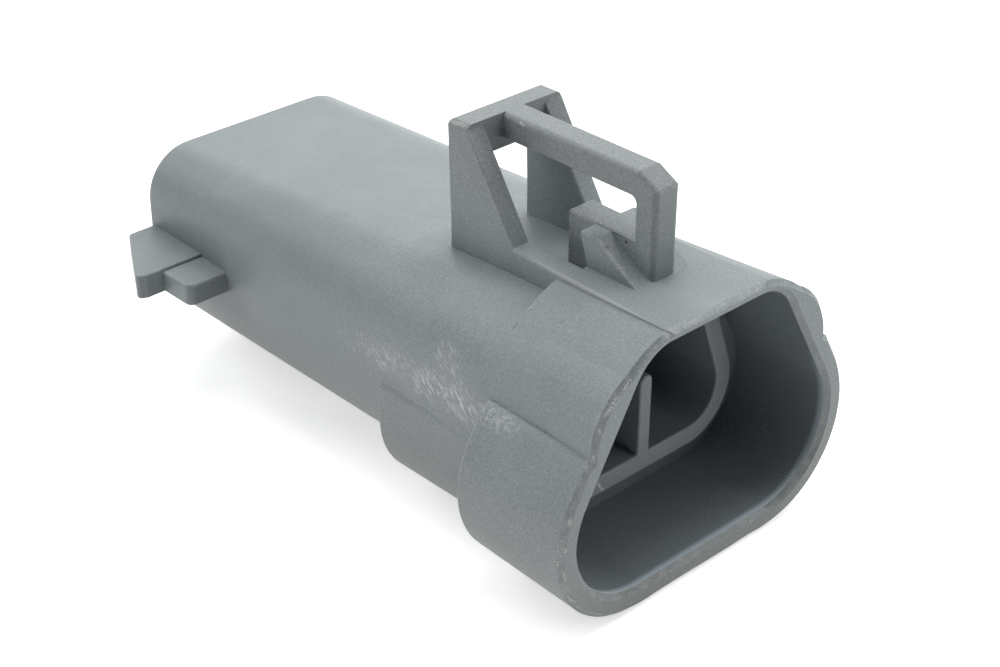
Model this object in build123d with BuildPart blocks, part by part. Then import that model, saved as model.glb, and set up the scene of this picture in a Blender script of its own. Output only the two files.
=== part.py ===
from build123d import *
import os
from math import cos, radians, sin

# Bare housing of a sealed oxygen sensor connector, moulded in one piece.
# Frame: X across the housing, Y from the mouth to the rear, Z up.
# The origin is the centre of the mouth opening, in the plane of the rim.
# All lengths are in millimetres.

# Whole housing
length = 58.4

# Mouth opening, a rounded trapezoid that is wider below
mouth_lean = 30.0
mouth_reach = 11.81
mouth_top = 10.57
mouth_bottom = -10.58
mouth_top_radius = 4.0
mouth_low_radius = 7.1
mouth_depth = 10.0
lip_chamfer = 0.45
rim_chamfer = 0.45

# Front shell round the lower part of the mouth
shell_wall = 2.05
shell_length = 11.6
shell_end_height = 3.8
shell_end_chamfer = 0.45
shell_ledge_width = 0.51
shell_floor = 1.92
shell_bottom = mouth_bottom - shell_floor
shell_corner_step = 1.9
shell_low_radius = mouth_low_radius + shell_corner_step
shell_rear_inset = 0.15
shell_rear_rise = 0.65

# Band under the body, behind the front shell
band_end = 24.9
band_side_setback = 0.3
band_top = -0.3
band_floor_setback = 0.75
band_bottom = shell_bottom + band_floor_setback
band_top_radius = 1.2
band_low_radius = 7.15

# Drafted rear body
body_rear_half_width = 11.85
body_rear_top = 7.67
body_front_drop = 0.34
body_front_top = mouth_top - body_front_drop
body_bottom = -10.5
body_rear_top_radius = 4.5
body_front_side_top = 2.83
body_front_top_radius = body_front_top - body_front_side_top
body_rear_low_radius = 8.5
body_front_low_radius = 9.9

# Shoulders of the rim, one on each side of the platform
shoulder_length = 12.2
shoulder_overlap = 0.3
shoulder_rear_drop = 0.5
shoulder_end_height = shell_end_height - shoulder_overlap
shoulder_front_heights = [mouth_top + 0.43, mouth_top - 0.92, mouth_top - 3.17, shoulder_end_height]
shoulder_rear_heights = [mouth_top - 0.22, mouth_top - 1.72, mouth_top - 2.97, shoulder_end_height]
shoulder_front_walls = [0.464, 1.734, 3.035, 1.884]
shoulder_rear_walls = [-0.061, 1.072, 1.751, 0.984]

# Platform that carries the latch guard
rim_top_wall = 1.2
platform_top = mouth_top + rim_top_wall
platform_half_width = 5.2
platform_flare = 0.55
platform_rim_half_width = platform_half_width + platform_flare
platform_length = 11.3
platform_thickness = 4.0

# Latch guard with two legs, a cross bar, a long bar and a front post
guard_height = 8.73
guard_top = platform_top + guard_height
guard_rear = 24.85
guard_rear_lean = 0.3
guard_rear_foot = guard_rear - guard_rear_lean
leg_thickness = 1.85
leg_foot = 17.2
cross_bar_depth = 2.35
leg_shoulder = guard_rear - cross_bar_depth
leg_shoulder_drop = 0.4
cross_bar_height = 3.15
guard_edge_radius = 0.6
bar_width = 2.7
bar_height = 2.2
post_front = 5.9
post_depth = 2.1
post_rear = post_front + post_depth
post_nose_run = 2.0
post_nose_drop = 1.05
post_edge_radius = 0.5
window_radius = 0.6

# Lock rib and the two lock hooks beside it
rib_height = 2.98
rib_top = platform_top + rib_height
rib_end = 15.0
hook_half_span = 3.05
hook_height = 2.83
hook_top = platform_top + hook_height
hook_land = 1.8
hook_undercut = 0.8
hook_rear = platform_length + hook_undercut
hook_ramp_top = hook_rear - hook_land

# Side lug, on the left only
lug_low = -1.6
lug_high = 0.77
lug_rear_setback = 0.4
lug_plate_length = 7.6
lug_tip_setback = 0.4
lug_block_length = 3.9
lug_root_depth = 1.35
lug_rear_reach = 2.75
lug_tip_reach = 6.95
lug_block_reach = 4.35
lug_rear = length - lug_rear_setback
lug_stop_y = lug_rear - lug_plate_length
lug_tip_y = lug_stop_y + lug_tip_setback
lug_front_y = lug_stop_y - lug_block_length
lug_root_x = lug_root_depth - body_rear_half_width
lug_rear_x = -body_rear_half_width - lug_rear_reach
lug_tip_x = -body_rear_half_width - lug_tip_reach
lug_front_x = -body_rear_half_width - lug_block_reach
lug_tip_width = 0.9
lug_tip_radius = 0.4
lug_corner_radius = 0.8
lug_step = 0.3

# Inner sleeve with its divider
sleeve_lean = 20.0
sleeve_reach = 9.55
sleeve_top = 6.6
sleeve_bottom = -6.65
sleeve_top_radius = 2.5
sleeve_low_radius = 5.0
sleeve_wall = 1.75
sleeve_front = 7.1
divider_thickness = 1.4
divider_top = 2.4

# Rear chamber for the cable seal
block_end = 30.4
rear_wall = 1.9


def slanted_side(height):
    """Distance of the mouth's slanted side from the middle, at a height."""
    lean = radians(mouth_lean)
    return (mouth_reach - height * sin(lean)) / cos(lean)


def trapezoid(y, lean_angle, reach, top, bottom, top_radius, low_radius):
    """Rounded trapezoid in the plane at y, with its slanted sides at a reach from the axis."""
    lean = radians(lean_angle)
    top_x = (reach - top * sin(lean)) / cos(lean)
    low_x = (reach - bottom * sin(lean)) / cos(lean)
    with BuildSketch(Plane.XZ.offset(-y)) as outline:
        with BuildLine():
            Polyline((-low_x, bottom), (low_x, bottom), (top_x, top), (-top_x, top), close=True)
        make_face()
        fillet(outline.vertices().group_by(Axis.Y)[0], low_radius)
        if top_radius > 0:
            fillet(outline.vertices().group_by(Axis.Y)[-1], top_radius)
    return outline.sketch


def mouth_outline(y, grow):
    """Outline of the mouth opening in the plane at y, grown outward by a distance."""
    return trapezoid(
        y,
        mouth_lean,
        mouth_reach + grow,
        mouth_top + grow,
        mouth_bottom - grow,
        mouth_top_radius + grow,
        mouth_low_radius + grow,
    )


# Widths that follow from the mouth and the shell round it
shell_top_reach = slanted_side(shell_end_height) + shell_wall / cos(radians(mouth_lean))
body_front_half_width = shell_top_reach - shell_ledge_width
band_half_width = body_front_half_width - band_side_setback


def shell_section(y, inset, rise):
    """Outline of the front shell in the plane at y, with its sides set in and its floor raised."""
    return trapezoid(
        y,
        mouth_lean,
        mouth_reach + shell_wall - inset,
        shell_end_height,
        shell_bottom + rise,
        0,
        shell_low_radius + inset - rise,
    )


def sleeve_outline(y, shrink):
    """Outline of the inner sleeve in the plane at y, shrunk inward by a distance."""
    return trapezoid(
        y,
        sleeve_lean,
        sleeve_reach - shrink,
        sleeve_top - shrink,
        sleeve_bottom + shrink,
        sleeve_top_radius - shrink,
        sleeve_low_radius - shrink,
    )


def rounded_section(y, half_width, top, bottom, top_radius, low_radius):
    """Section in the plane at y, a rectangle with its upper and lower corners rounded."""
    with BuildSketch(Plane.XZ.offset(-y)) as section:
        with Locations((0, (top + bottom) / 2)):
            Rectangle(2 * half_width, top - bottom)
        fillet(section.vertices().group_by(Axis.Y)[-1], top_radius)
        fillet(section.vertices().group_by(Axis.Y)[0], low_radius)
    return section.sketch


def drafted(front, rear, y):
    """Size at y of something that changes evenly from the rim to the rear."""
    return front + (rear - front) * y / length


def body_section(y):
    """Section of the drafted rear body in the plane at y."""
    return rounded_section(
        y,
        drafted(body_front_half_width, body_rear_half_width, y),
        drafted(body_front_top, body_rear_top, y),
        body_bottom,
        drafted(body_front_top_radius, body_rear_top_radius, y),
        drafted(body_front_low_radius, body_rear_low_radius, y),
    )


def shoulder_section(y, top, heights, walls):
    """Section of the right shoulder, outside the mouth's slanted side by a wall at each height."""
    start = (platform_half_width, top)
    points = [(slanted_side(height) + wall, height) for height, wall in zip(heights, walls)]
    upper_bulge, crease, lower_bulge, end = points
    with BuildSketch(Plane.XZ.offset(-y)) as section:
        with BuildLine():
            ThreePointArc(start, upper_bulge, crease)
            ThreePointArc(crease, lower_bulge, end)
            Polyline(
                end,
                (end[0] - shell_wall, end[1]),
                (platform_half_width, top - platform_thickness),
                start,
            )
        make_face()
    return section.sketch


def guard_rear_at(height):
    """Distance of the guard's rear face at a height, because it leans back a little."""
    share = (height - platform_top) / (guard_top - platform_top)
    return guard_rear_foot + (guard_rear - guard_rear_foot) * share


with BuildPart() as housing:
    # Rear body, one drafted form from the rim to the rear
    body_sections = [body_section(0), body_section(band_end), body_section(length)]
    loft(body_sections, ruled=True)

    # Band under the body
    band_section = rounded_section(
        0,
        band_half_width,
        band_top,
        band_bottom,
        band_top_radius,
        band_low_radius,
    )
    extrude(band_section, amount=-band_end)

    # Front shell, a lip round the lower part of the mouth
    shell_front = shell_section(0, 0, 0)
    shell_rear = shell_section(shell_length, shell_rear_inset, shell_rear_rise)
    loft([shell_front, shell_rear], ruled=True)
    for side in [-shell_top_reach, shell_top_reach]:
        shell_end = (side, shell_length / 2, shell_end_height)
        chamfer(housing.edges().sort_by_distance(shell_end)[0], shell_end_chamfer)

    # Shoulders of the rim, which sink into the body towards the rear
    shoulder_front = shoulder_section(
        0,
        platform_top,
        shoulder_front_heights,
        shoulder_front_walls,
    )
    shoulder_rear = shoulder_section(
        shoulder_length,
        platform_top - shoulder_rear_drop,
        shoulder_rear_heights,
        shoulder_rear_walls,
    )
    shoulder = loft([shoulder_front, shoulder_rear], ruled=True)
    mirror(shoulder, about=Plane.YZ)

    # Platform, a full plate in front and two rails behind it
    with BuildSketch(Plane.XY.offset(platform_top)) as platform:
        with BuildLine():
            Polyline(
                (-platform_rim_half_width, 0),
                (platform_rim_half_width, 0),
                (platform_half_width, leg_foot),
                (platform_half_width, guard_rear_foot),
                (-platform_half_width, guard_rear_foot),
                (-platform_half_width, leg_foot),
                close=True,
            )
        make_face()
        with Locations((0, platform_length)):
            Rectangle(
                2 * (platform_half_width - leg_thickness),
                guard_rear,
                align=(Align.CENTER, Align.MIN),
                mode=Mode.SUBTRACT,
            )
    extrude(amount=-platform_thickness)

    # Legs of the latch guard
    with BuildSketch(Plane.YZ.offset(platform_half_width - leg_thickness)):
        with BuildLine():
            Polyline(
                (leg_foot, platform_top),
                (leg_shoulder, guard_top - leg_shoulder_drop),
                (leg_shoulder, guard_top),
                (guard_rear, guard_top),
                (guard_rear_foot, platform_top),
                close=True,
            )
        make_face()
    leg = extrude(amount=leg_thickness)
    mirror(leg, about=Plane.YZ)

    # Cross bar between the legs
    cross_bar_low = guard_top - cross_bar_height
    with BuildSketch(Plane.YZ):
        with BuildLine():
            Polyline(
                (leg_shoulder, cross_bar_low),
                (leg_shoulder, guard_top),
                (guard_rear, guard_top),
                (guard_rear_at(cross_bar_low), cross_bar_low),
                close=True,
            )
        make_face()
    extrude(amount=platform_half_width, both=True)

    # Long bar and front post, with a slanted nose and a rounded window corner
    nose_low = (post_front, guard_top - post_nose_drop)
    nose_high = (post_front + post_nose_run, guard_top)
    window_corner = (post_rear, guard_top - bar_height)
    with BuildSketch(Plane.YZ) as post_profile:
        with BuildLine():
            Polyline(
                (post_front, platform_top - platform_thickness),
                nose_low,
                nose_high,
                (leg_shoulder + window_radius, guard_top),
                (leg_shoulder + window_radius, guard_top - bar_height),
                window_corner,
                (post_rear, platform_top - platform_thickness),
                close=True,
            )
        make_face()
        fillet(post_profile.vertices().sort_by_distance(window_corner)[0], window_radius)
    extrude(amount=bar_width / 2, both=True)
    outer_edges = []
    for side in [-bar_width / 2, bar_width / 2]:
        post_middle = (side, post_front, (platform_top + guard_top) / 2)
        nose_middle = (side, post_front + post_nose_run / 2, guard_top - post_nose_drop / 2)
        bar_middle = (side, (post_rear + leg_shoulder) / 2, guard_top)
        for middle in [post_middle, nose_middle, bar_middle]:
            outer_edges.append(housing.edges().sort_by_distance(middle)[0])
    fillet(outer_edges, post_edge_radius)

    # Lock rib behind the post
    with BuildSketch(Plane.YZ):
        with BuildLine():
            Polyline(
                (post_rear, rib_top),
                (rib_end, rib_top),
                (rib_end, body_front_top - platform_thickness),
                (post_rear, body_front_top - platform_thickness),
                close=True,
            )
        make_face()
    extrude(amount=bar_width / 2, both=True)

    # Lock hooks, ramped in front and undercut behind
    with BuildSketch(Plane.YZ):
        with BuildLine():
            Polyline(
                (post_front, platform_top),
                (hook_ramp_top, hook_top),
                (hook_rear, hook_top),
                (platform_length, platform_top),
                (platform_length, platform_top - 0.5),
                (post_front, platform_top - 0.5),
                close=True,
            )
        make_face()
    extrude(amount=hook_half_span, both=True)

    # Rounded top edges of the cross bar
    top_edges = housing.edges().group_by(Axis.Z)[-1]
    bar_ends = top_edges.filter_by(Axis.Y).sort_by(Axis.X)
    rear_edge = top_edges.filter_by(Axis.X).sort_by(Axis.Y)[-1]
    fillet([bar_ends[0], bar_ends[-1], rear_edge], guard_edge_radius)

    # Side lug, a hooked plate with a slightly lower block in front of it
    lug_tip = (lug_tip_x, lug_tip_y)
    lug_stop = (lug_tip_x + lug_tip_width, lug_stop_y)
    with BuildSketch(Plane.XY.offset(lug_low)) as lug_plan:
        with BuildLine():
            Polyline(
                (lug_root_x, lug_rear),
                (lug_rear_x, lug_rear),
                lug_tip,
                lug_stop,
                (lug_root_x, lug_stop_y),
                close=True,
            )
        make_face()
        for corner in [lug_tip, lug_stop]:
            fillet(lug_plan.vertices().sort_by_distance(corner)[0], lug_tip_radius)
    extrude(amount=lug_high - lug_low)
    with BuildSketch(Plane.XY.offset(lug_low)) as block_plan:
        with BuildLine():
            Polyline(
                (lug_root_x, lug_stop_y),
                (lug_front_x, lug_stop_y),
                (lug_front_x, lug_front_y),
                (lug_root_x, lug_front_y),
                close=True,
            )
        make_face()
        fillet(block_plan.vertices().sort_by_distance((lug_front_x, lug_front_y))[0], lug_corner_radius)
    extrude(amount=lug_high - lug_step - lug_low)

    # Mouth, full size in front of the sleeve and a gap round the sleeve behind its front
    extrude(mouth_outline(0, 0), amount=-sleeve_front, mode=Mode.SUBTRACT)
    gap = mouth_outline(sleeve_front, 0) - sleeve_outline(sleeve_front, 0)
    extrude(gap, amount=sleeve_front - mouth_depth, mode=Mode.SUBTRACT)

    # Broken edges of the rim, inside and outside
    rim_face = housing.faces().filter_by(Axis.Y).sort_by(Axis.Y)[0]
    chamfer(rim_face.inner_wires()[0].edges(), lip_chamfer)
    rim_face = housing.faces().filter_by(Axis.Y).sort_by(Axis.Y)[0]
    chamfer(rim_face.outer_wire().edges(), rim_chamfer)

    # Chamber behind the sleeve, with the divider standing on its floor
    chamber = sleeve_outline(sleeve_front, sleeve_wall)
    extrude(chamber, amount=sleeve_front - block_end, mode=Mode.SUBTRACT)
    with BuildSketch(Plane.XZ.offset(-sleeve_front)) as divider:
        with Locations((0, divider_top)):
            Rectangle(
                divider_thickness,
                divider_top - sleeve_bottom,
                align=(Align.CENTER, Align.MAX),
            )
        fillet(divider.vertices().group_by(Axis.Y)[-1], divider_thickness * 0.45)
    extrude(amount=sleeve_front - block_end)

    # Rear chamber, open at the rear
    seal_section = rounded_section(
        length,
        body_rear_half_width - rear_wall,
        body_rear_top - rear_wall,
        body_bottom + rear_wall,
        body_rear_top_radius - rear_wall,
        body_rear_low_radius - rear_wall,
    )
    extrude(seal_section, amount=length - block_end, mode=Mode.SUBTRACT)
    housing.part.label = "housing"

os.makedirs("parts", exist_ok=True)
export_step(housing.part, "parts/housing.step")
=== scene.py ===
"""Looks of the oxygen sensor connector housing: its finish, floor, lamps and camera.

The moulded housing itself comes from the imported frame.  All lengths are in metres, in the
part's own frame: X across, Y from the mouth to the rear, Z up.  Places and sizes that are
said to be in millimetres are turned into metres where they are used.
"""

import logging
import math
from collections.abc import Sequence
from dataclasses import dataclass
from enum import Enum
from typing import NamedTuple

import bpy
from mathutils import Matrix, Vector

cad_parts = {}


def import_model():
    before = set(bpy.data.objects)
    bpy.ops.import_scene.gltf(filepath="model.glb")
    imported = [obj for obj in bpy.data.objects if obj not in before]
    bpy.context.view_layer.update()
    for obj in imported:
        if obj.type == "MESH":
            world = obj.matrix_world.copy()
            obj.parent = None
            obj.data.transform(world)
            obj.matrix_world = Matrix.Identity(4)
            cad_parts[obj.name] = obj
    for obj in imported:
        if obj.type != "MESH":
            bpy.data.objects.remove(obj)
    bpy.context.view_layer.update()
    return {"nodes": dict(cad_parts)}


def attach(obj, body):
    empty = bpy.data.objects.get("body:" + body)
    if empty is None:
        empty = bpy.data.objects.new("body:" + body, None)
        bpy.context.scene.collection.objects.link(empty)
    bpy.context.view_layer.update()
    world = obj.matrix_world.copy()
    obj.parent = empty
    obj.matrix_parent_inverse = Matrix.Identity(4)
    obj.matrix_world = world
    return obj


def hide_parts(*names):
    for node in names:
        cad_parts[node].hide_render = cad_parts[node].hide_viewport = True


LOG = logging.getLogger("connector")
MM = 0.001
WHITE = (1.0, 1.0, 1.0, 1.0)
NO_TURN = (0.0, 0.0, 0.0)
MIX_COLOUR_INPUTS = (6, 7)
MIX_COLOUR_OUTPUT = 2

Colour = tuple[float, float, float]
Point = tuple[float, float, float]
Socket = bpy.types.NodeSocket
Value = Socket | float
Paint = Socket | Colour


class MathStep(Enum):
    """Arithmetic that the finishes use on single values."""

    MULTIPLY = "MULTIPLY"
    SUBTRACT = "SUBTRACT"
    MAXIMUM = "MAXIMUM"
    ABSOLUTE = "ABSOLUTE"


class Axis(Enum):
    """Axes of the housing, by their place in a vector."""

    X = 0
    Y = 1
    Z = 2


class Zone(Enum):
    """Parts of the moulding that are finished differently, by their material's place; the inside is
    painted darker as painted shade, and the rounded edges lighter, partly wear and partly painted
    highlight.
    """

    OUTSIDE = 0
    EDGE = 1
    INSIDE = 2


class NodeBoard:
    """Node tree of one material, with short calls for the nodes that the finishes share."""

    def __init__(self, name: str) -> None:
        """Makes an empty material with an output and a surface shader.

        Args:
            name: Name of the new material.
        """
        self.material = bpy.data.materials.new(name)
        self.material.use_nodes = True
        self.tree = self.material.node_tree
        self.tree.nodes.clear()
        self.output = self.node("OutputMaterial")
        self.shader = self.node("BsdfPrincipled")
        self.feed(self.output.inputs["Surface"], self.shader.outputs["BSDF"])
        self.place = self.node("TexCoord").outputs["Object"]

    def node(self, kind: str) -> bpy.types.ShaderNode:
        """Adds a shader node of a kind, such as Math or TexNoise."""
        return self.tree.nodes.new(f"ShaderNode{kind}")

    def feed(self, socket: Socket, value: Value | Paint) -> None:
        """Links a socket to another one, or sets it to a plain value.

        Args:
            socket: Input socket to fill.
            value: Output socket, number or colour.
        """
        if isinstance(value, bpy.types.NodeSocket):
            self.tree.links.new(value, socket)
        else:
            socket.default_value = value

    def math(self, step: MathStep, first: Value, second: Value = 0.0) -> Socket:
        """Result of one step of arithmetic.

        Args:
            step: The operation.
            first: First value or socket.
            second: Second value or socket.

        Returns:
            The output socket.
        """
        node = self.node("Math")
        node.operation = step.value
        self.feed(node.inputs[0], first)
        self.feed(node.inputs[1], second)
        return node.outputs[0]

    def chained(self, step: MathStep, values: Sequence[Value]) -> Value:
        """Result of one operation over several values, from left to right.

        Args:
            step: The operation.
            values: Values or sockets, at least one.

        Returns:
            The output socket, or the only value.
        """
        result = values[0]
        for value in values[1:]:
            result = self.math(step, result, value)
        return result

    def product(self, *values: Value) -> Value:
        """Product of all the values."""
        return self.chained(MathStep.MULTIPLY, values)

    def highest(self, values: Sequence[Value]) -> Value:
        """Largest of the values."""
        return self.chained(MathStep.MAXIMUM, values)

    def stretched(
        self, scale: Point, turn: Point = NO_TURN, source: Socket | None = None
    ) -> Socket:
        """Coordinates that are stretched and then turned about the origin.

        Args:
            scale: Factor along each axis.
            turn: Turn about each axis, in degrees.
            source: Coordinates, or None for the object's own.

        Returns:
            The vector output socket.
        """
        node = self.node("Mapping")
        node.inputs["Rotation"].default_value = [math.radians(angle) for angle in turn]
        node.inputs["Scale"].default_value = scale
        self.feed(node.inputs["Vector"], self.place if source is None else source)
        return node.outputs[0]

    def noise(
        self, scale: float, detail: float, rough: float, source: Socket | None = None
    ) -> Socket:
        """Value of a soft random pattern.

        Args:
            scale: Waves per unit of the coordinates.
            detail: Number of finer layers.
            rough: Weight of the finer layers.
            source: Coordinates, or None for the object's own.

        Returns:
            The value output socket.
        """
        node = self.node("TexNoise")
        node.inputs["Scale"].default_value = scale
        node.inputs["Detail"].default_value = detail
        node.inputs["Roughness"].default_value = rough
        self.feed(node.inputs["Vector"], self.place if source is None else source)
        return node.outputs["Fac"]

    def cells(self, scale: float) -> tuple[Socket, Socket]:
        """Distance to the nearest random point, and that point's random colour.

        Args:
            scale: Points per metre along a line.

        Returns:
            The distance and colour output sockets.
        """
        node = self.node("TexVoronoi")
        node.inputs["Scale"].default_value = scale
        self.feed(node.inputs["Vector"], self.place)
        return node.outputs["Distance"], node.outputs["Color"]

    def band(
        self, value: Value, low: float, high: float, start: float = 0.0, end: float = 1.0
    ) -> Socket:
        """Smooth step from one value to another.

        Args:
            value: Socket that is read.
            low: Where the step begins.
            high: Where the step ends.
            start: Result below the step.
            end: Result above the step.

        Returns:
            The value output socket.
        """
        node = self.node("MapRange")
        node.interpolation_type = "SMOOTHSTEP"
        self.feed(node.inputs["Value"], value)
        node.inputs["From Min"].default_value = low
        node.inputs["From Max"].default_value = high
        node.inputs["To Min"].default_value = start
        node.inputs["To Max"].default_value = end
        return node.outputs["Result"]

    def cover(self, below: Paint, above: Paint, *shares: Value) -> Socket:
        """Lays one colour over another, by the product of the shares.

        Args:
            below: Colour or socket underneath.
            above: Colour or socket on top.
            shares: Masks and amounts, whose product is the share of the top colour.

        Returns:
            The colour output socket.
        """
        node = self.node("Mix")
        node.data_type = "RGBA"
        self.feed(node.inputs["Factor"], self.product(*shares))
        for index, paint in zip(MIX_COLOUR_INPUTS, (below, above)):
            is_plain = isinstance(paint, tuple)
            self.feed(node.inputs[index], (*paint, 1.0) if is_plain else paint)
        return node.outputs[MIX_COLOUR_OUTPUT]

    def part(self, axis: Axis, source: Socket | None = None) -> Socket:
        """One part of a vector or colour.

        Args:
            axis: The axis.
            source: Vector or colour socket, or None for the object's own coordinates.

        Returns:
            The value output socket.
        """
        node = self.node("SeparateXYZ")
        self.feed(node.inputs[0], self.place if source is None else source)
        return node.outputs[axis.value]

    def ellipsoid(self, centre: Point, half: Point, turn: Point, soft: float) -> Socket:
        """Soft mask of an ellipsoid, 1 inside and 0 outside.

        Args:
            centre: Its centre, in metres.
            half: Its half sizes, in metres.
            turn: Its turn about each axis, in degrees.
            soft: Share of the half size over which it fades.

        Returns:
            The value output socket.
        """
        node = self.node("Mapping")
        node.vector_type = "TEXTURE"
        node.inputs["Location"].default_value = centre
        node.inputs["Rotation"].default_value = [math.radians(angle) for angle in turn]
        node.inputs["Scale"].default_value = half
        self.feed(node.inputs["Vector"], self.place)
        length = self.node("VectorMath")
        length.operation = "LENGTH"
        self.feed(length.inputs[0], node.outputs[0])
        return self.band(length.outputs["Value"], 1.0 - soft, 1.0, 1.0, 0.0)

    def bump(
        self, height: Socket, strength: float, distance: float, before: Socket | None = None
    ) -> Socket:
        """Small relief read from a height.

        Args:
            height: Height socket.
            strength: Strength from 0 to 1.
            distance: Height of the relief, in metres.
            before: Normal that the relief is added to.

        Returns:
            The normal output socket.
        """
        node = self.node("Bump")
        node.inputs["Strength"].default_value = strength
        node.inputs["Distance"].default_value = distance
        self.feed(node.inputs["Height"], height)
        if before is not None:
            self.feed(node.inputs["Normal"], before)
        return node.outputs[0]


@dataclass(frozen=True)
class Pattern:
    """Soft random pattern, cut to a smooth step from 0 to 1 between two of its values.

    The scale is in waves per metre, or per unit of the coordinates that the pattern reads.
    """

    scale: float
    detail: float
    rough: float
    low: float
    high: float

    def value(self, board: NodeBoard, source: Socket | None = None) -> Socket:
        """Value of the cut pattern."""
        waves = board.noise(self.scale, self.detail, self.rough, source)
        return board.band(waves, self.low, self.high)


@dataclass(frozen=True)
class Slope:
    """Smooth change along one axis of the housing, between two places in millimetres."""

    axis: Axis
    low: float
    high: float
    start: float = 0.0
    end: float = 1.0

    def value(self, board: NodeBoard) -> Socket:
        """Value of the change."""
        place = board.part(self.axis)
        return board.band(place, self.low * MM, self.high * MM, self.start, self.end)


@dataclass(frozen=True)
class Patch:
    """Soft ellipsoid part of the moulding, with its centre and half sizes in millimetres."""

    centre: Point
    half: Point
    soft: float = 0.5

    def mask(self, board: NodeBoard) -> Socket:
        """Mask of the patch, 1 inside and 0 outside."""
        centre, half = (tuple(value * MM for value in size) for size in (self.centre, self.half))
        return board.ellipsoid(centre, half, NO_TURN, self.soft)


@dataclass(frozen=True)
class Stroke:
    """Long thin mark on the moulding, from a start to an end, in millimetres."""

    start: Point
    end: Point
    radius: float
    strength: float = 0.8
    soft: float = 0.6

    def mask(self, board: NodeBoard) -> Socket:
        """Soft mask of the mark.

        Args:
            board: The material's node tree.

        Returns:
            The value output socket.
        """
        first, second = Vector(self.start) * MM, Vector(self.end) * MM
        along = second - first
        radius = self.radius * MM
        yaw = math.degrees(math.atan2(along.y, along.x))
        pitch = -math.degrees(math.atan2(along.z, math.hypot(along.x, along.y)))
        half = (along.length / 2 + radius, radius, radius)
        return board.ellipsoid(tuple((first + second) / 2), half, (0.0, pitch, yaw), self.soft)


@dataclass(frozen=True)
class Compound:
    """Blue-grey moulding compound: its ground colours, random clouds, a warmer darker tint towards
    the bottom, and painted shade higher up and inside.
    """

    body: Colour = (0.207, 0.241, 0.251)
    shade: Colour = (0.182, 0.208, 0.215)
    warm: Colour = (0.2, 0.208, 0.204)
    # painted shade: a darker colour laid over the bar and legs higher up, standing in for shade
    # there
    guard_painted_shade: Colour = (0.168, 0.188, 0.192)
    # painted shade: one darker colour for the hollow inside of the mouth and body
    inside: Colour = (0.163, 0.188, 0.202)
    cloud: Pattern = Pattern(150.0, 4.0, 0.6, 0.35, 0.75)
    cloud_share: float = 0.7
    near_bottom: Slope = Slope(Axis.Z, -11.0, 4.0, 1.0, 0.0)
    warm_share: float = 0.8
    small_cloud: Pattern = Pattern(420.0, 3.0, 0.55, 0.35, 0.7)
    small_cloud_share: float = 0.35
    guard_shade_height: Slope = Slope(Axis.Z, 13.0, 17.5)
    guard_shade_share: float = 0.75

    def colour(self, board: NodeBoard, zone: Zone) -> Paint:
        """Colour of the compound with its painted shade, higher up and inside, before wear, flecks
        and marks.

        Args:
            board: The material's node tree.
            zone: The part of the moulding.

        Returns:
            The colour, or its output socket.
        """
        if zone is Zone.INSIDE:
            return self.inside
        colour = board.cover(self.body, self.shade, self.cloud.value(board), self.cloud_share)
        colour = board.cover(colour, self.warm, self.near_bottom.value(board), self.warm_share)
        small_cloud = self.small_cloud.value(board)
        colour = board.cover(colour, self.shade, small_cloud, self.small_cloud_share)
        # painted shade, darker higher up on the bar and legs
        return board.cover(colour, self.guard_painted_shade, self.guard_shade_height.value(board), self.guard_shade_share)


@dataclass(frozen=True)
class GlassFlecks:
    """Pale glass in the compound: a fine grain and single flecks, fewer at the rear, and less of
    both inside as part of the painted shade there.
    """

    pale: Colour = (0.5, 0.52, 0.52)
    grain: Pattern = Pattern(5600.0, 2.0, 0.75, 0.34, 0.68)
    grain_outside: float = 0.22
    # less grain and, below, fewer pale flecks inside, as part of the painted shade there
    grain_inside: float = 0.1
    flecks_per_metre: float = 2300.0
    fleck_core: float = 0.08
    fleck_edge: float = 0.2
    rarity_outside: float = 0.55
    rarity_inside: float = 0.86
    brightest_chance: float = 0.97
    fleck_share: float = 0.55
    forward: Slope = Slope(Axis.Y, 22.0, 40.0, 1.0, 0.45)

    def cover(self, board: NodeBoard, colour: Paint, zone: Zone) -> Socket:
        """Adds the grain and the flecks.

        Args:
            board: The material's node tree.
            colour: Colour so far.
            zone: The part of the moulding.

        Returns:
            The colour output socket.
        """
        enclosed = zone is Zone.INSIDE
        amount = self.grain_inside if enclosed else self.grain_outside
        rarity = self.rarity_inside if enclosed else self.rarity_outside
        forward = self.forward.value(board)
        colour = board.cover(colour, self.pale, self.grain.value(board), amount, forward)
        distance, chance = board.cells(self.flecks_per_metre)
        spot = board.band(distance, self.fleck_core, self.fleck_edge, 1.0, 0.0)
        chosen = board.band(board.part(Axis.X, chance), rarity, self.brightest_chance)
        return board.cover(colour, self.pale, spot, chosen, forward, self.fleck_share)


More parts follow.
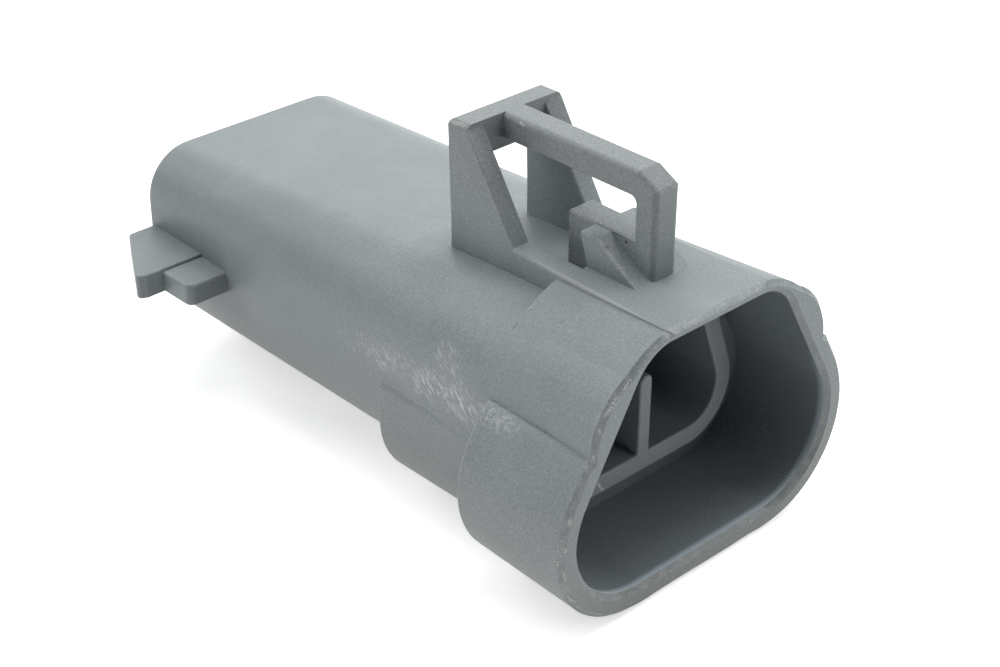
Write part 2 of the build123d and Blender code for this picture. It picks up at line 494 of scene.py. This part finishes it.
@dataclass(frozen=True)
class FlowStreaks:
    """Whitened flow streaks low on the left side, and the rubbed corner of the shell."""

    whitened: Colour = (0.6, 0.62, 0.65)
    scuffed: Colour = (0.31, 0.325, 0.34)
    rubbed: Colour = (0.5, 0.52, 0.52)
    lean: Point = (-44.0, 0.0, 0.0)
    unstretched: Point = (1.0, 1.0, 1.0)
    waves_per_metre: Point = (1500.0, 1000.0, 5600.0)
    fibres: Pattern = Pattern(1.0, 4.0, 0.7, 0.46, 0.62)
    breaks: Pattern = Pattern(900.0, 4.0, 0.7, 0.4, 0.58)
    streak_share: float = 0.8
    haze_share: float = 0.3
    places: tuple[Patch, ...] = (
        Patch((-12.8, 15.8, 2.1), (2.5, 5.6, 2.6), 0.7),
        Patch((-12.8, 21.5, 1.6), (2.5, 10.5, 2.1), 0.8),
        Patch((-12.6, 16.8, 4.5), (2.5, 2.2, 2.2), 0.8),
    )
    shell_corner: Patch = Patch((-13.75, 9.8, 3.2), (1.6, 3.5, 1.3), 0.7)
    rub: Pattern = Pattern(2400.0, 3.0, 0.65, 0.42, 0.65)
    rub_share: float = 0.5

    def cover(self, board: NodeBoard, colour: Paint) -> Socket:
        """Adds the streaks, their haze and the rubbed corner.

        Args:
            board: The material's node tree.
            colour: Colour so far.

        Returns:
            The colour output socket.
        """
        leaning = board.stretched(self.unstretched, self.lean)
        drawn = board.stretched(self.waves_per_metre, source=leaning)
        fibres = self.fibres.value(board, drawn)
        breaks = self.breaks.value(board)
        places = board.highest([place.mask(board) for place in self.places])
        colour = board.cover(colour, self.scuffed, places, self.haze_share)
        colour = board.cover(colour, self.whitened, fibres, breaks, places, self.streak_share)
        corner = self.shell_corner.mask(board)
        return board.cover(colour, self.rubbed, corner, self.rub.value(board), self.rub_share)


@dataclass(frozen=True)
class EdgeWearAndHighlight:
    """Lighter colour along the rounded edges, partly wear and partly painted highlight, and small
    chips.
    """

    # partly wear, partly painted highlight: a lighter colour on every rounded edge
    worn_and_highlit: Colour = (0.27, 0.29, 0.295)
    chipped: Colour = (0.5, 0.52, 0.52)
    wear: Pattern = Pattern(1500.0, 3.0, 0.65, 0.35, 0.65)
    wear_and_highlight_share: float = 0.75
    chips: Pattern = Pattern(3300.0, 2.0, 0.6, 0.66, 0.72)
    chip_share: float = 0.8

    def cover(self, board: NodeBoard, colour: Paint) -> Socket:
        """Adds the wear with its painted highlight, and the chips."""
        colour = board.cover(colour, self.worn_and_highlit, self.wear.value(board), self.wear_and_highlight_share)
        return board.cover(colour, self.chipped, self.chips.value(board), self.chip_share)


@dataclass(frozen=True)
class PaintedLipReflection:
    """Painted reflection: a pale bluish line just inside the lower edge of the mouth."""

    # painted reflection colour of the white surroundings
    reflected_pale_blue: Colour = (0.6, 0.7, 0.77)
    near_rim: Slope = Slope(Axis.Y, 0.5, 1.2, 1.0, 0.0)
    near_bottom: Slope = Slope(Axis.Z, -4.0, 4.0, 1.0, 0.0)
    share: float = 0.72

    def cover(self, board: NodeBoard, colour: Paint) -> Socket:
        """Adds the painted reflection line."""
        masks = (self.near_rim.value(board), self.near_bottom.value(board))
        return board.cover(colour, self.reflected_pale_blue, *masks, self.share)


@dataclass(frozen=True)
class PlatformHighlights:
    """Painted highlight lines along the two upper edges of the platform, in millimetres."""

    # painted highlight colour of the lines
    light: Colour = (0.36, 0.375, 0.37)
    height: float = 11.75
    front: float = 0.2
    front_half_width: float = 5.75
    rear: float = 17.0
    rear_half_width: float = 5.22
    radius: float = 0.26
    share: float = 0.7

    def cover(self, board: NodeBoard, colour: Paint) -> Socket:
        """Adds both painted highlight lines.

        Args:
            board: The material's node tree.
            colour: Colour so far.

        Returns:
            The colour output socket.
        """
        lines = [
            Stroke(
                (side * self.front_half_width, self.front, self.height),
                (side * self.rear_half_width, self.rear, self.height),
                self.radius,
            )
            for side in (-1.0, 1.0)
        ]
        both = board.highest([line.mask(board) for line in lines])
        return board.cover(colour, self.light, both, self.share)


@dataclass(frozen=True)
class Marks:
    """Pale nicks on the edges, a few dark specks and one rusty spot, in millimetres."""

    nicked: Colour = (0.62, 0.63, 0.62)
    ragged: Pattern = Pattern(5200.0, 4.0, 0.75, 0.42, 0.56)
    rim_nicks: tuple[Stroke, ...] = (
        Stroke((-9.6, 0.15, 9.4), (-10.8, 0.15, 8.55), 0.16),
        Stroke((-10.7, 0.15, 8.6), (-12.3, 0.2, 7.2), 0.272, 0.9),
        Stroke((-12.69, 0.2, 6.4), (-12.75, 0.2, 5.9), 0.16, 0.5),
        Stroke((-13.2, 0.25, 4.4), (-13.35, 0.25, 3.7), 0.176, 0.6),
        Stroke((-15.55, 0.11, 0.0), (-15.75, 0.11, -0.6), 0.208, 0.7),
        Stroke((-16.15, 0.06, -2.5), (-16.15, 0.06, -2.8), 0.192, 0.9),
        Stroke((-16.23, 0.12, -4.3), (-15.95, 0.07, -5.8), 0.16, 0.7),
        Stroke((-15.9, 0.4, -6.8), (-15.0, 0.16, -8.15), 0.208, 0.8),
    )
    guard_nicks: tuple[Stroke, ...] = (
        Stroke((-1.3, 20.75, 20.3), (-1.3, 20.0, 20.15), 0.16, 0.7),
        Stroke((-5.1, 24.6, 20.2), (-4.9, 22.5, 20.3), 0.24, 0.55),
    )
    sleeve_nicks: tuple[Stroke, ...] = (
        Stroke((-5.4, 7.05, -5.3), (-4.6, 7.05, -6.5), 0.192, 0.9),
    )
    shoulder_nicks: tuple[Stroke, ...] = (
        Stroke((-12.6, 6.4, 6.1), (-12.8, 6.2, 5.9), 0.112, 0.5),
        Stroke((-12.75, 5.55, 5.7), (-12.75, 5.35, 5.55), 0.128, 0.5),
    )
    dark: Colour = (0.02, 0.02, 0.02)
    speck_half: Point = (0.16, 0.16, 0.16)
    speck_centres: tuple[Point, ...] = (
        (-1.35, 8.76, 14.26),
        (5.6, 10.6, 11.8),
        (12.4, 3.0, -3.5),
    )
    speck_share: float = 0.85
    rusty: Colour = (0.16, 0.09, 0.05)
    rust: Patch = Patch((-2.71, 9.45, 14.05), (0.3, 0.2, 0.2))
    rust_share: float = 0.6

    def cover(self, board: NodeBoard, colour: Paint) -> Socket:
        """Adds the nicks, the specks and the rusty spot.

        Args:
            board: The material's node tree.
            colour: Colour so far.

        Returns:
            The colour output socket.
        """
        nicks = self.rim_nicks + self.guard_nicks + self.sleeve_nicks + self.shoulder_nicks
        struck = board.highest([board.product(nick.mask(board), nick.strength) for nick in nicks])
        colour = board.cover(colour, self.nicked, struck, self.ragged.value(board))
        specks = [Patch(centre, self.speck_half).mask(board) for centre in self.speck_centres]
        colour = board.cover(colour, self.dark, board.highest(specks), self.speck_share)
        return board.cover(colour, self.rusty, self.rust.mask(board), self.rust_share)


@dataclass(frozen=True)
class Relief:
    """Fine relief of the surface: its grain and the parting line of the mould."""

    grain_strength: float = 0.3
    grain_height: float = 0.02 * MM
    parting_place: float = 50.4 * MM
    ridge_core: float = 0.04 * MM
    ridge_edge: float = 0.16 * MM
    ridge_strength: float = 0.35
    ridge_height: float = 0.06 * MM

    def normal(self, board: NodeBoard, grain: Socket) -> Socket:
        """Normal of the surface with its relief.

        Args:
            board: The material's node tree.
            grain: Height of the grain.

        Returns:
            The normal output socket.
        """
        offset = board.math(MathStep.SUBTRACT, board.part(Axis.Y), self.parting_place)
        distance = board.math(MathStep.ABSOLUTE, offset)
        ridge = board.band(distance, self.ridge_core, self.ridge_edge, 1.0, 0.0)
        grained = board.bump(grain, self.grain_strength, self.grain_height)
        return board.bump(ridge, self.ridge_strength, self.ridge_height, grained)


@dataclass(frozen=True)
class GlassFilledPlastic:
    """Satin moulding compound with pale glass flecks, wear and marks, and painted shade, painted
    highlights and a painted reflection.
    """

    compound: Compound = Compound()
    flecks: GlassFlecks = GlassFlecks()
    streaks: FlowStreaks = FlowStreaks()
    edge_wear_and_highlight: EdgeWearAndHighlight = EdgeWearAndHighlight()
    lip_reflection: PaintedLipReflection = PaintedLipReflection()
    platform_highlights: PlatformHighlights = PlatformHighlights()
    marks: Marks = Marks()
    relief: Relief = Relief()
    roughness: float = 0.5
    specular: float = 0.42

    def build(self, zone: Zone) -> bpy.types.Material:
        """Makes the material for one part of the moulding.

        Args:
            zone: The part of the moulding.

        Returns:
            The finished material.
        """
        board = NodeBoard(f"glass_filled_plastic_{zone.name.lower()}")
        colour = self.compound.colour(board, zone)
        if zone is Zone.EDGE:
            colour = self.edge_wear_and_highlight.cover(board, colour)
        colour = self.flecks.cover(board, colour, zone)
        if zone is Zone.INSIDE:
            # painted reflection along the inner lower lip
            colour = self.lip_reflection.cover(board, colour)
        if zone is Zone.OUTSIDE:
            colour = self.streaks.cover(board, colour)
            # painted highlights along the platform's upper edges
            colour = self.platform_highlights.cover(board, colour)
        colour = self.marks.cover(board, colour)
        board.feed(board.shader.inputs["Base Color"], colour)
        board.shader.inputs["Roughness"].default_value = self.roughness
        board.shader.inputs["Specular IOR Level"].default_value = self.specular
        normal = self.relief.normal(board, self.flecks.grain.value(board))
        board.feed(board.shader.inputs["Normal"], normal)
        return board.material


@dataclass(frozen=True)
class PairedBox:
    """Box on both sides of the housing, in millimetres, with X counted from the middle."""

    low: Point
    high: Point

    def holds(self, point: Vector) -> bool:
        """Whether a point, in metres, lies in the box on either side."""
        place = (abs(point.x) / MM, point.y / MM, point.z / MM)
        return all(low <= value < high for low, value, high in zip(self.low, place, self.high))


@dataclass(frozen=True)
class MouthCorner:
    """One rounded corner of the mouth opening, in millimetres."""

    across: float
    up: float
    radius: float
    facing: float


@dataclass(frozen=True)
class MouthOpening:
    """Outline of the mouth opening, seen from the front, in millimetres.

    The slanted sides lie at a fixed reach along the direction that the two side values give.
    """

    bottom: float = -10.58
    top: float = 10.57
    side_reach: float = 11.81
    side_across: float = 0.866
    side_up: float = 0.5
    margin: float = 0.15
    corners: tuple[MouthCorner, ...] = (
        MouthCorner(7.45, -3.48, 7.1, -1.0),
        MouthCorner(5.225, 6.57, 4.0, 1.0),
    )

    def holds(self, point: Vector) -> bool:
        """Whether a point lies within the opening, with a small margin.

        Args:
            point: The point, in metres.

        Returns:
            True inside the opening.
        """
        across, up = abs(point.x) / MM, point.z / MM
        if not self.bottom - self.margin < up < self.top + self.margin:
            return False
        if across * self.side_across + up * self.side_up > self.side_reach + self.margin:
            return False
        return not any(self.cuts_off(corner, across, up) for corner in self.corners)

    def cuts_off(self, corner: MouthCorner, across: float, up: float) -> bool:
        """Whether a rounded corner leaves a point outside the opening.

        Args:
            corner: The corner.
            across: Distance of the point from the middle.
            up: Height of the point.

        Returns:
            True where the point lies past the corner's arc.
        """
        off_across, off_up = across - corner.across, (up - corner.up) * corner.facing
        share = off_across / self.side_across
        in_corner = share > 0 and off_up - self.side_up * corner.facing * share > 0
        return in_corner and math.hypot(off_across, off_up) > corner.radius + self.margin


@dataclass(frozen=True)
class EdgeRounding:
    """How the outer edges of the moulding are rounded, and where less than elsewhere.

    The platform's upper edges and the front of the cross bar stay sharp.  The shoulder's end
    is rounded more and more over the height of the fade, which is in millimetres.
    """

    radius: float = 0.22 * MM
    steps: int = 3
    least_turn: float = 50.0
    least_drop: float = 0.2
    platform_edge: PairedBox = PairedBox((5.1, -1.0, 11.67), (5.8, 12.0, 11.87))
    cross_bar_front: PairedBox = PairedBox((0.0, 21.9, 19.5), (20.0, 22.6, 30.0))
    shoulder_end: PairedBox = PairedBox((5.2, 11.9, -30.0), (30.0, 12.5, 30.0))
    shoulder_fade_start: float = 6.5
    shoulder_fade: float = 3.0

    def share(self, middle: Vector) -> float:
        """Share of the full rounding that an edge gets, less where a step is shallow.

        Args:
            middle: Middle of the edge.

        Returns:
            The share, from 0 to 1.
        """
        if self.platform_edge.holds(middle) or self.cross_bar_front.holds(middle):
            return 0.0
        if self.shoulder_end.holds(middle):
            above = middle.z / MM - self.shoulder_fade_start
            return min(max(above, 0.0) / self.shoulder_fade, 1.0)
        return 1.0


class EdgeSide(NamedTuple):
    """One face beside an edge, with the direction from the edge into the face."""

    normal: Vector
    inward: Vector
    material: int


def edge_sides(mesh: bpy.types.Mesh) -> dict[tuple[int, int], list[EdgeSide]]:
    """Finds the faces beside each edge of a mesh.

    Args:
        mesh: The mesh.

    Returns:
        The sides of each edge, by the edge's two corners in rising order.
    """
    sides: dict[tuple[int, int], list[EdgeSide]] = {}
    for polygon in mesh.polygons:
        ring = list(polygon.vertices)
        for first, second in zip(ring, ring[1:] + ring[:1]):
            along = mesh.vertices[second].co - mesh.vertices[first].co
            inward = polygon.normal.cross(along).normalized()
            side = EdgeSide(polygon.normal.copy(), inward, polygon.material_index)
            sides.setdefault((min(first, second), max(first, second)), []).append(side)
    return sides


@dataclass
class Housing:
    """The moulded housing: the frame's form with its outer edges slightly rounded."""

    node: str = "housing"
    name: str = "moulded_housing"
    merge_distance: float = 0.001 * MM
    flat_angle: float = 0.3
    crease_angle: float = 13.0
    rounded_crease_angle: float = 42.0
    shading_weight: int = 50
    rim_depth: float = 0.5 * MM
    rim_edge_slant: tuple[float, float] = (-0.9, -0.4)
    mouth_start: float = 0.4 * MM
    mouth_depth: float = 10.05 * MM
    opening: MouthOpening = MouthOpening()
    hollow: PairedBox = PairedBox((0.0, 10.05, -8.7), (10.05, 58.35, 5.87))
    rounding: EdgeRounding = EdgeRounding()
    finish: GlassFilledPlastic = GlassFilledPlastic()

    def copy_form(self, source: bpy.types.Object) -> bpy.types.Object:
        """Copies the node's mesh and merges its loose triangles into whole faces.

        Args:
            source: The frame's object.

        Returns:
            The new object, selected and active.
        """
        bpy.ops.object.select_all(action="DESELECT")
        piece = bpy.data.objects.new(self.name, source.data.copy())
        bpy.context.scene.collection.objects.link(piece)
        bpy.context.view_layer.objects.active = piece
        piece.select_set(True)
        bpy.ops.object.mode_set(mode="EDIT")
        bpy.ops.mesh.select_all(action="SELECT")
        bpy.ops.mesh.remove_doubles(threshold=self.merge_distance)
        bpy.ops.mesh.dissolve_limited(angle_limit=math.radians(self.flat_angle))
        bpy.ops.mesh.select_all(action="DESELECT")
        bpy.ops.object.mode_set(mode="OBJECT")
        return piece

    def mark_corners(self, mesh: bpy.types.Mesh) -> int:
        """Gives bevel weight to the sharp edges that stick out.

        Args:
            mesh: Mesh of the merged copy.

        Returns:
            The number of edges marked.
        """
        sides = edge_sides(mesh)
        weights = mesh.attributes.new("bevel_weight_edge", "FLOAT", "EDGE")
        limit = math.cos(math.radians(self.rounding.least_turn))
        marked = 0
        for edge in mesh.edges:
            pair = sides.get(tuple(sorted(edge.vertices)), [])
            if len(pair) != 2:
                continue
            one, other = pair
            sticks_out = other.inward.dot(one.normal) < -self.rounding.least_drop
            if one.normal.dot(other.normal) < limit and sticks_out:
                first, second = (mesh.vertices[index].co for index in edge.vertices)
                weights.data[edge.index].value = self.rounding.share((first + second) / 2)
                marked += 1
        return marked

    def mark_creases(self, mesh: bpy.types.Mesh) -> None:
        """Keeps the corners that aren't rounded sharp in the shading.

        Args:
            mesh: Mesh of the rounded housing.
        """
        sides = edge_sides(mesh)
        plain_limit = math.cos(math.radians(self.crease_angle))
        rounded_limit = math.cos(math.radians(self.rounded_crease_angle))
        for edge in mesh.edges:
            pair = sides.get(tuple(sorted(edge.vertices)), [])
            is_rounded = any(side.material == Zone.EDGE.value for side in pair)
            limit = rounded_limit if is_rounded else plain_limit
            edge.use_edge_sharp = len(pair) == 2 and pair[0].normal.dot(pair[1].normal) < limit

    def round_edges(self, piece: bpy.types.Object) -> None:
        """Rounds the outer edges of the moulding and shades it smoothly between them.

        Args:
            piece: The merged copy.
        """
        bpy.ops.object.shade_smooth()
        marked = self.mark_corners(piece.data)
        LOG.info("%s: rounded %d edges", piece.name, marked)
        bevel = piece.modifiers.new("rounding", "BEVEL")
        bevel.width = self.rounding.radius
        bevel.segments = self.rounding.steps
        bevel.limit_method = "WEIGHT"
        bevel.use_clamp_overlap = False
        # the rounded faces get the edge material, which carries wear and painted highlight
        bevel.material = Zone.EDGE.value
        bpy.ops.object.modifier_apply(modifier=bevel.name)
        self.mark_creases(piece.data)
        shading = piece.modifiers.new("shading", "WEIGHTED_NORMAL")
        shading.mode = "FACE_AREA_WITH_ANGLE"
        shading.weight = self.shading_weight
        shading.keep_sharp = True
        bpy.ops.object.modifier_apply(modifier=shading.name)

    def paint_zones(self, mesh: bpy.types.Mesh) -> None:
        """Gives the hollow inside its darker painted shade, and the broken edges of the rim the
        lighter edge colour of wear and painted highlight.

        Args:
            mesh: Mesh of the rounded housing.
        """
        least_slant, most_slant = self.rim_edge_slant
        for polygon in mesh.polygons:
            centre = polygon.center
            is_slanted = least_slant < polygon.normal.y < most_slant
            in_mouth = self.mouth_start < centre.y < self.mouth_depth and self.opening.holds(centre)
            if centre.y < self.rim_depth and is_slanted:
                polygon.material_index = Zone.EDGE.value
            elif in_mouth or self.hollow.holds(centre):
                # the hollow inside gets its darker painted shade
                polygon.material_index = Zone.INSIDE.value

    def dress(self, nodes: dict[str, bpy.types.Object]) -> bpy.types.Object:
        """Makes the rounded housing and puts its finish on.

        Args:
            nodes: The frame's objects by node name.

        Returns:
            The dressed object.
        """
        piece = self.copy_form(nodes[self.node])
        piece.data.materials.clear()
        for zone in Zone:
            piece.data.materials.append(self.finish.build(zone))
        self.round_edges(piece)
        self.paint_zones(piece.data)
        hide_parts(self.node)
        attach(piece, "root")
        return piece


@dataclass(frozen=True)
class SoftLamp:
    """One round soft lamp on the dome over the floor, with its angles in degrees."""

    name: str
    azimuth: float
    elevation: float
    power: float
    distance: float = 0.6
    size: float = 0.3
    aim: Point = (0.0, 0.02, 0.0)

    def build(self) -> bpy.types.Object:
        """Makes the lamp, facing the housing.

        Returns:
            The lamp object.
        """
        around, above = math.radians(self.azimuth), math.radians(self.elevation)
        level = math.cos(above)
        towards = Vector((level * math.cos(around), level * math.sin(around), math.sin(above)))
        lamp = bpy.data.lights.new(self.name, "AREA")
        lamp.shape = "DISK"
        lamp.size = self.size
        lamp.energy = self.power
        item = bpy.data.objects.new(self.name, lamp)
        bpy.context.scene.collection.objects.link(item)
        item.location = Vector(self.aim) + towards * self.distance
        item.rotation_mode = "QUATERNION"
        item.rotation_quaternion = (-towards).to_track_quat("-Z", "Y")
        return item


@dataclass(frozen=True)
class MattWhite:
    """Matt white of the floor, which the camera sees a little lighter than it is lit."""

    albedo: float = 0.9
    roughness: float = 0.9
    glow: float = 0.55

    def build(self) -> bpy.types.Material:
        """Makes the floor's material.

        Returns:
            The finished material.
        """
        board = NodeBoard("floor_white")
        matt = board.shader.outputs["BSDF"]
        white = (self.albedo, self.albedo, self.albedo, 1.0)
        board.shader.inputs["Base Color"].default_value = white
        board.shader.inputs["Roughness"].default_value = self.roughness
        board.shader.inputs["Specular IOR Level"].default_value = 0.0
        rays = board.node("LightPath").outputs
        glow = board.node("Emission")
        glow.inputs["Color"].default_value = WHITE
        glow.inputs["Strength"].default_value = self.glow
        lighter = board.node("AddShader")
        board.feed(lighter.inputs[0], matt)
        board.feed(lighter.inputs[1], glow.outputs[0])
        mixer = board.node("MixShader")
        board.feed(mixer.inputs[0], board.highest([rays["Is Camera Ray"], rays["Is Glossy Ray"]]))
        board.feed(mixer.inputs[1], matt)
        board.feed(mixer.inputs[2], lighter.outputs[0])
        board.feed(board.output.inputs["Surface"], mixer.outputs[0])
        return board.material


@dataclass(frozen=True)
class Floor:
    """Pale floor that the housing rests on."""

    name: str = "floor"
    height: float = -0.012475
    half_width: float = 1.2
    finish: MattWhite = MattWhite()

    def build(self) -> bpy.types.Object:
        """Makes the floor.

        Returns:
            The floor object.
        """
        bpy.ops.object.select_all(action="DESELECT")
        bpy.ops.mesh.primitive_plane_add(size=2 * self.half_width, location=(0, 0, self.height))
        floor = bpy.context.object
        floor.name = self.name
        floor.data.materials.append(self.finish.build())
        return floor


@dataclass(frozen=True)
class Surroundings:
    """Surroundings that light nothing and are white to the camera."""

    name: str = "surroundings"
    light: float = 0.0
    seen: float = 1.0

    def build(self) -> bpy.types.World:
        """Makes the surroundings.

        Returns:
            The world.
        """
        world = bpy.data.worlds.new(self.name)
        bpy.context.scene.world = world
        world.use_nodes = True
        tree = world.node_tree
        tree.nodes.clear()
        output = tree.nodes.new("ShaderNodeOutputWorld")
        mixer = tree.nodes.new("ShaderNodeMixShader")
        path = tree.nodes.new("ShaderNodeLightPath")
        tree.links.new(path.outputs["Is Camera Ray"], mixer.inputs[0])
        for index, strength in enumerate((self.light, self.seen), start=1):
            backdrop = tree.nodes.new("ShaderNodeBackground")
            backdrop.inputs["Color"].default_value = WHITE
            backdrop.inputs["Strength"].default_value = strength
            tree.links.new(backdrop.outputs[0], mixer.inputs[index])
        tree.links.new(mixer.outputs[0], output.inputs["Surface"])
        return world


@dataclass(frozen=True)
class Camera:
    """Camera at the photo's viewing angle, with its angles in degrees."""

    name: str = "camera"
    eye: Point = (-0.100326, -0.081328, 0.085037)
    azimuth: float = -43.587
    elevation: float = 30.602
    roll: float = 0.3127
    lens: float = 71.18
    sensor_width: float = 36.0
    nearest: float = 0.01
    farthest: float = 10.0

    def build(self) -> bpy.types.Object:
        """Makes the camera and looks through it.

        Returns:
            The camera object.
        """
        data = bpy.data.cameras.new(self.name)
        data.lens = self.lens
        data.sensor_width = self.sensor_width
        data.clip_start = self.nearest
        data.clip_end = self.farthest
        camera = bpy.data.objects.new(self.name, data)
        bpy.context.scene.collection.objects.link(camera)
        turn = (
            Matrix.Rotation(math.radians(self.azimuth), 4, "Z")
            @ Matrix.Rotation(math.radians(90.0 - self.elevation), 4, "X")
            @ Matrix.Rotation(math.radians(self.roll), 4, "Z")
        )
        camera.matrix_world = Matrix.Translation(Vector(self.eye)) @ turn
        bpy.context.scene.camera = camera
        return camera


@dataclass
class Studio:
    """Floor, surroundings, soft lamps and camera round the housing."""

    floor: Floor = Floor()
    surroundings: Surroundings = Surroundings()
    camera: Camera = Camera()
    lamps: tuple[SoftLamp, ...] = (
        SoftLamp("overhead", 0, 90, 0.94),
        SoftLamp("rear_left_key", 112, 35, 1.05),
        SoftLamp("left_rear", 157, 35, 0.58),
        SoftLamp("rear_left_high", 120, 62, 0.3),
        SoftLamp("right_high", 0, 62, 1.13),
        SoftLamp("rear_right_high", 60, 62, 0.18),
        SoftLamp("rear_right", 67, 35, 0.66),
        SoftLamp("right", 22, 35, 0.48),
        SoftLamp("right_low", 45, 12, 0.63),
        SoftLamp("front_right", 337, 35, 0.8),
        SoftLamp("front_right_low", 315, 12, 0.33),
        SoftLamp("front", 292, 35, 0.55),
        SoftLamp("left_low", 180, 12, 0.06),
        SoftLamp("left_rear_low", 135, 12, 0.14),
        SoftLamp("left_front_high", 210, 62, 0.16),
    )

    def build(self) -> None:
        """Makes everything round the housing and logs each piece."""
        for piece in (self.floor, self.surroundings, *self.lamps, self.camera):
            LOG.info("built %s", piece.build().name)


def main() -> None:
    """Builds the scene round the frame and logs each piece."""
    logging.basicConfig(level=logging.INFO, format="%(name)s: %(message)s")
    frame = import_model()
    bpy.context.scene.view_settings.view_transform = "Standard"
    housing = Housing().dress(frame["nodes"])
    LOG.info("dressed %s", housing.name)
    Studio().build()


if __name__ == "__main__":
    main()
